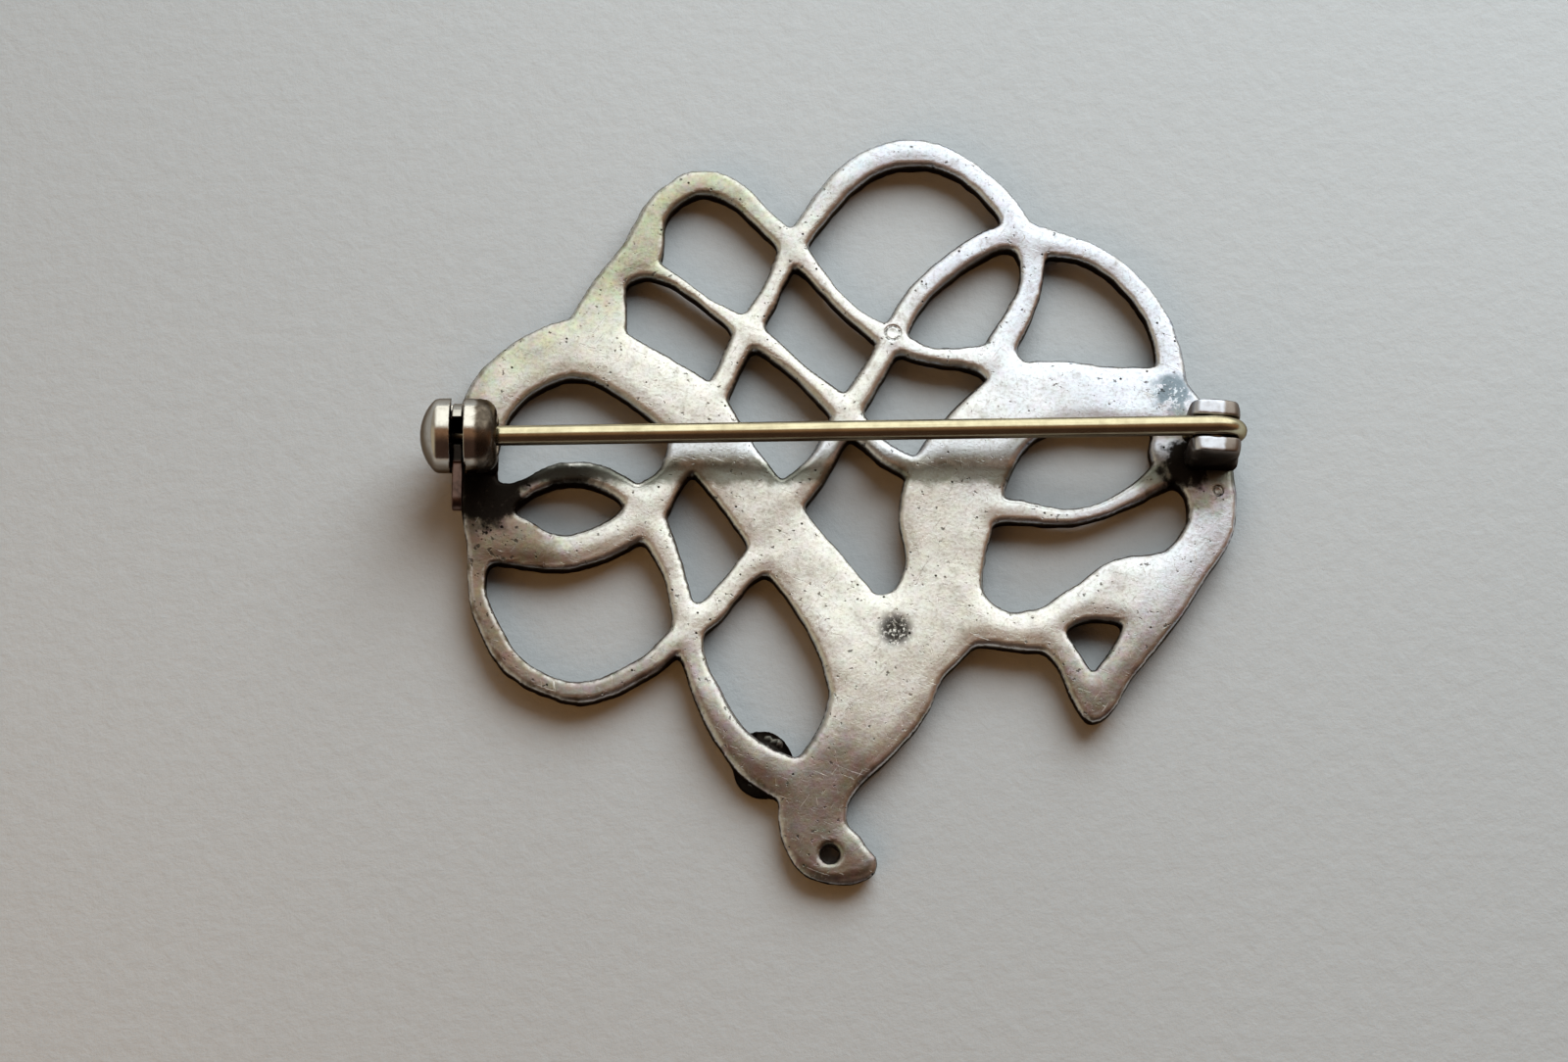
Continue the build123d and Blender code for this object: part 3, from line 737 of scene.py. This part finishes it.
# The ball joint is a pair of rounded silver ears on a block, soldered to the plate's right edge,
# with a slot between the ears for the pin's eye.
HINGE_X = 18.95
HINGE_Y = 3.1
HINGE_Z = 3.65
EAR_RADIUS = 1.3
EAR_ROUNDS = 8
EAR_FLARE = 0.09
# The ears' tops: squarer than a circle, a little lower, and falling to the right.
EAR_SQUARENESS = 4
EAR_TOP_SHARE = 0.93
EAR_TILT = 0.24
# The ears' outer ends, by how far they are from the middle of the joint along its axis.
EAR_ROUND_FROM = 0.75
EAR_HALF_SPAN = 1.87
EAR_NARROWING = 0.6
EAR_FLAT_FROM = 1.3
EAR_FLATTENING = 0.5
# What closes an ear's bore outside: radius, and distance from the middle of the joint.
EAR_PLUG = ((0.72, 0.9), (0.72, 1.73), (0.6, 1.77), (0.3, 1.84), (0.02, 1.87))
ROUND_TURNS = 40


def swept(spots, across, turns):
    """A closed tube. Each spot is a centre, the tube's direction there, and its half widths, the
    first of them along the axis called across."""
    form = bmesh.new()
    angles = [2 * math.pi * i / turns for i in range(turns)]
    circles = []
    for centre, aim, half_breadth, half_height in spots:
        side = (across - aim * aim.dot(across)).normalized()
        top = aim.cross(side)
        circles.append([
            form.verts.new(
                centre + half_breadth * math.cos(angle) * side + half_height * math.sin(angle) * top
            )
            for angle in angles
        ])
    for near, far in zip(circles, circles[1:]):
        for i in range(turns):
            form.faces.new((near[i], near[i - 1], far[i - 1], far[i]))
    form.faces.new(circles[0])
    form.faces.new(circles[-1])
    bmesh.ops.recalc_face_normals(form, faces=form.faces)
    mesh = bpy.data.meshes.new("swept")
    form.to_mesh(mesh)
    form.free()
    return mesh


hinge = Vector((HINGE_X, HINGE_Y, HINGE_Z))
axle = Vector((0, 1, 0))
form = cut("openwork", FITTING_CUT, above=True, end=FITTING_BOTTOM, side=1)
for side in (-1, 1):
    spots = [(hinge + along * side * axle, side * axle, radius, radius) for radius, along in EAR_PLUG]
    form.from_mesh(swept(spots, Vector((1, 0, 0)), ROUND_TURNS))
ears = even_skin(form, FITTING_GRAIN, EAR_ROUNDS)
points = points_of(ears)
flare(ears, points, EAR_FLARE)
right = (points[:, 0] - HINGE_X) / EAR_RADIUS
along = np.clip(np.abs(right), 0, 1)
above = np.maximum(points[:, 2] - HINGE_Z, 0)
squared = EAR_TOP_SHARE * (1 - along**EAR_SQUARENESS) ** (1 / EAR_SQUARENESS)
squared /= np.sqrt(np.maximum(1 - along * along, LEAST))
points[:, 2] += above * (squared - 1 - EAR_TILT * right)
out = points[:, 1] - HINGE_Y
rounded = np.clip((np.abs(out) - EAR_ROUND_FROM) / (EAR_HALF_SPAN - EAR_ROUND_FROM), 0, 1)
narrowed = np.sqrt(1 - EAR_NARROWING * rounded * rounded)
points[:, 0] = HINGE_X + (points[:, 0] - HINGE_X) * narrowed
points[:, 1] -= np.sign(out) * np.maximum(np.abs(out) - EAR_FLAT_FROM, 0) * EAR_FLATTENING
put_points(ears, points)
piece("joint_ears", ears, "body", "openwork", fitting)


# The pin is one piece of hard nickel silver wire. Its eye is hammered flat and bored, and its tip
# is filed to a taper that rests in the catch.
WIRE_RADIUS = 0.5
WIRE_STEPS = 90
WIRE_MOUTH_X = -16.74
TIP_LENGTH = 2.95
TIP_RADIUS = 0.2
TIP_STEPS = 12
TIP_ANGLES = (0, 30, 60, 85)
# The pin's eye: a ring of flat wire round the rivet, and how far round it goes, in degrees.
PIN_EYE_MIDDLE = 1.15
PIN_EYE_HALF_BREADTH = 0.475
PIN_EYE_ANGLE = 348
PIN_EYE_STEPS = 80

spots = []
for step in range(PIN_EYE_STEPS):
    angle = math.radians(90 - PIN_EYE_ANGLE * (1 - step / PIN_EYE_STEPS))
    outward = Vector((math.cos(angle), 0, math.sin(angle)))
    aim = Vector((-math.sin(angle), 0, math.cos(angle)))
    spots.append((hinge + PIN_EYE_MIDDLE * outward, aim, PIN_EYE_HALF_BREADTH, WIRE_RADIUS))
start = Vector((HINGE_X, HINGE_Y, HINGE_Z + PIN_EYE_MIDDLE))
mouth = Vector((WIRE_MOUTH_X, *CATCH_AXIS))
aim = (mouth - start).normalized()
for step in range(WIRE_STEPS):
    spots.append((start.lerp(mouth, step / WIRE_STEPS), aim, WIRE_RADIUS, WIRE_RADIUS))
for step in range(TIP_STEPS):
    along = step / TIP_STEPS
    radius = WIRE_RADIUS + (TIP_RADIUS - WIRE_RADIUS) * along
    spots.append((mouth + aim * TIP_LENGTH * along, aim, radius, radius))
for angle in TIP_ANGLES:
    along = TIP_LENGTH - TIP_RADIUS * (1 - math.sin(math.radians(angle)))
    radius = TIP_RADIUS * math.cos(math.radians(angle))
    spots.append((mouth + aim * along, aim, radius, radius))
pin = swept(spots, axle, ROUND_TURNS)

NICKEL = (0.68, 0.62, 0.43, 1)
DULL_AND_SHADED_NICKEL = (0.34, 0.27, 0.16, 1)

# Duller in lengthwise lines. Painted shade: duller on the sides, brown on the near side, and dark
# inside the catch.
wire = bpy.data.materials.new("nickel_silver_wire")
finish = Finish(wire)
place = finish.millimetres()
mottle = finish.speckle(place, 1.2, 3, 0.6)
drawn = finish.node("Mapping", None, {"Vector": place, "Scale": (0.15, 6, 6)})
lines = finish.speckle(drawn, 2, 3, 0.6)
# Painted shade: dark where the pin lies inside the catch.
shade_in_catch = place.parts()[0].below(INNER_EDGE, INNER_EDGE + 0.3)
_, backward, facing = finish.normal()
tone = finish.layered(
    NICKEL,
    ((mottle * 0.6 + lines * 0.4).between(0.35, 0.7) * 0.5, DULL_AND_SHADED_NICKEL),
    (facing.below(0.2, 0.6) * 0.6, DULL_AND_SHADED_NICKEL),
    (backward.below(-0.95, -0.7) * 0.8, BROWN_TARNISH_AND_SHADE),
    (shade_in_catch * 0.6, TARNISH_AND_SHADE_BLACK),
)
roughness = 0.16 + mottle * 0.1
relief = finish.bump(lines * 0.002)
finish.surface(
    Base_Color=tone, Metallic=1, Roughness=roughness, Specular_Tint=EDGE_TINT, Normal=relief
)
piece("pin_wire", pin, "pin", "pin_stem", wire)


# The rivet holds the pin's eye between the ears. It is nickel silver, and the ears are closed over
# its ends, so that it shows only beside the eye.
RIVET_RADIUS = 0.62
RIVET_HALF = 1.45

ends = (hinge - RIVET_HALF * axle, hinge + RIVET_HALF * axle)
spots = [(end, axle, RIVET_RADIUS, RIVET_RADIUS) for end in ends]
rivet = swept(spots, Vector((1, 0, 0)), ROUND_TURNS)
piece("rivet", rivet, "body", "joint_rivet", wire)


# The turning part of the catch is a tube with a flange in the barrel's slot, and a small lever to
# turn it by. It is silver, dulled brown by handling.
ROTOR_GRAIN = 0.045
ROTOR_ROUNDS = 3
ROTOR_SILVER = (0.13, 0.083, 0.07, 1)

rotor = even_skin(solid("catch_rotor"), ROTOR_GRAIN, ROTOR_ROUNDS)

dulled = bpy.data.materials.new("dulled_silver")
finish = Finish(dulled)
place = finish.millimetres()
mottle = finish.speckle(place, 2.5, 4, 0.6)
away = place.parts()[1]
# Painted shade: the inside of the tube is black.
hub_shade = from_catch_axis(place).below(1.45, 1.65)
tone = finish.layered(
    ROTOR_SILVER,
    (mottle.between(0.4, 0.75) * 0.6, TARNISH_AND_SHADE_BLACK),
    (away.between(2.8, 3.0), FITTING_SILVER),
    (hub_shade, TARNISH_AND_SHADE_BLACK),
)
roughness = 0.22 + mottle * 0.15
relief = finish.bump(mottle * 0.01)
finish.surface(
    Base_Color=tone, Metallic=1, Roughness=roughness, Specular_Tint=EDGE_TINT, Normal=relief
)
piece("catch_lever", rotor, "catch", "catch_rotor", dulled)
